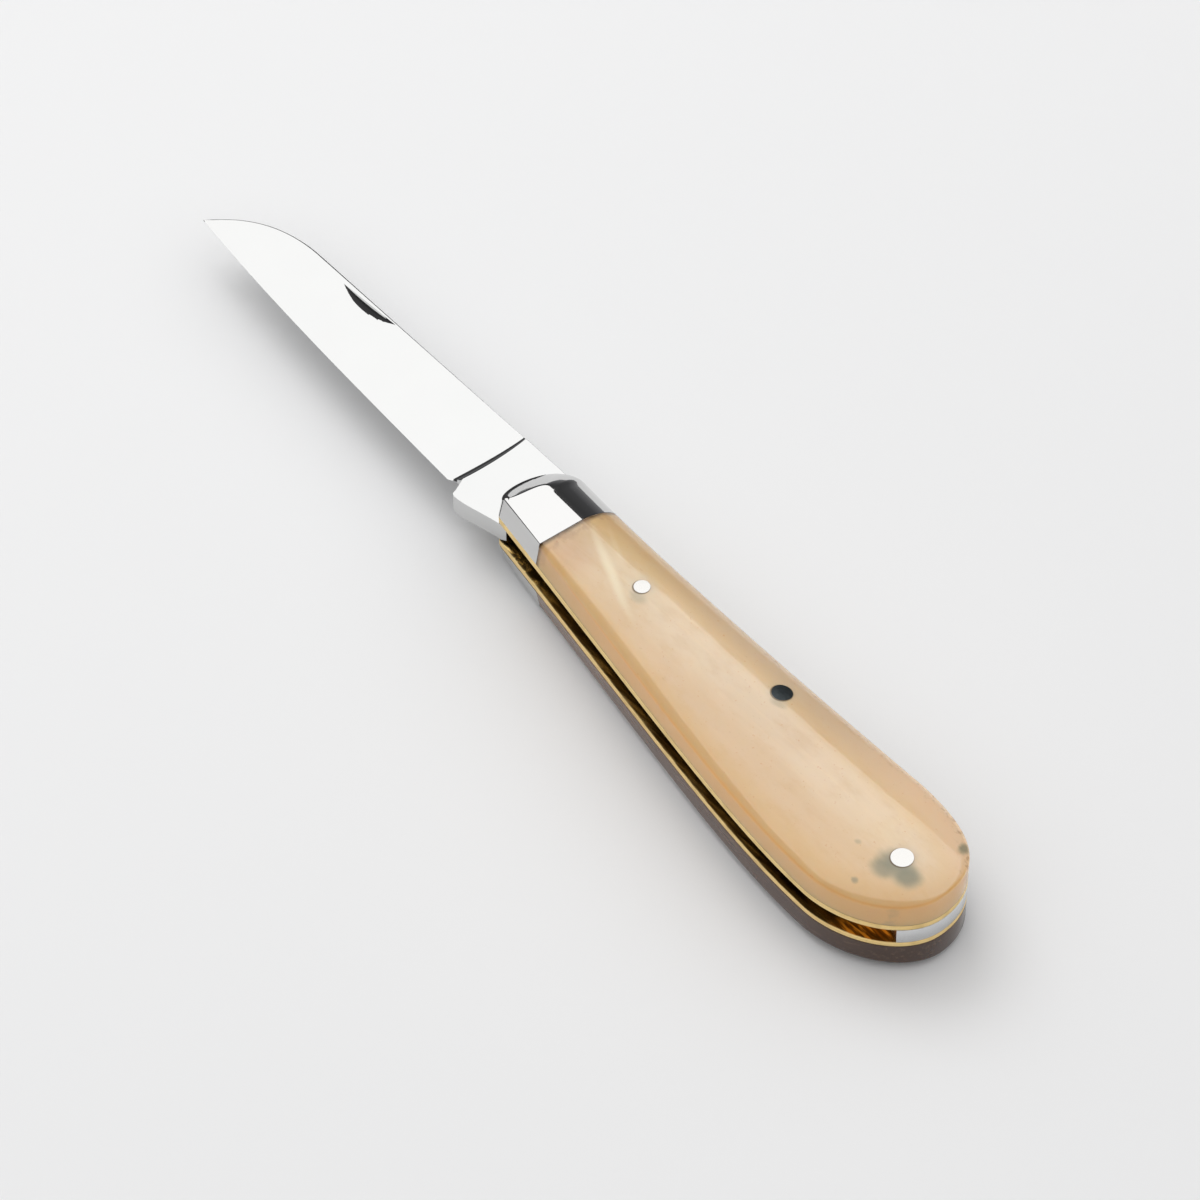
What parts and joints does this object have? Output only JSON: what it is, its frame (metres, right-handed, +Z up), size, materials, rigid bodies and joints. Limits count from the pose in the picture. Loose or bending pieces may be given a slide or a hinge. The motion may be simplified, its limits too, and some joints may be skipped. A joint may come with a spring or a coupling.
{
  "type": "folding pocket knife",
  "caption": "Slip-joint pocket knife with a sheepsfoot-like blade, a backspring, brass liners, polished bolsters and honey-coloured horn scales; the blade folds into the handle.",
  "frame": {"origin": "centre of the open knife's footprint, on the surface that it lies on", "axes": "+X from the blade's tip to the butt, +Y from the slot to the backspring, +Z up through the thickness"},
  "size_m": [0.1534, 0.0212, 0.0138],
  "materials": {
    "blade_steel": "mirror polished carbon steel",
    "spring_steel": "polished edges, satin sides",
    "liner_brass": "polished edges",
    "bolster_metal": "mirror polished nickel silver",
    "pin_metal": "polished nickel silver, dressed flush",
    "dark_pin": "darkened steel, dressed flush",
    "horn": "polished translucent horn with pale streaks and grey clouds"
  },
  "bodies": {
    "handle": {"backspring": "spring_steel", "top_liner": "liner_brass", "bottom_liner": "liner_brass", "top_bolster": "bolster_metal", "bottom_bolster": "bolster_metal", "top_scale": "horn", "bottom_scale": "horn", "pivot_pin": "pin_metal", "spring_pin": "dark_pin", "butt_pin": "pin_metal", "top_scale_rivet": "pin_metal", "bottom_scale_rivet": "pin_metal", "top_bolster_rivet": "pin_metal", "bottom_bolster_rivet": "pin_metal"},
    "blade": {"blade": "blade_steel"}
  },
  "joints": [
    {"name": "blade_pivot", "type": "hinge", "parent": "handle", "child": "blade", "pos_m": [-0.0044, 0.00315, 0.0069], "axis": [0, 0, 1], "range_deg": [0, 171], "deforming": ["backspring"]}
  ]
}
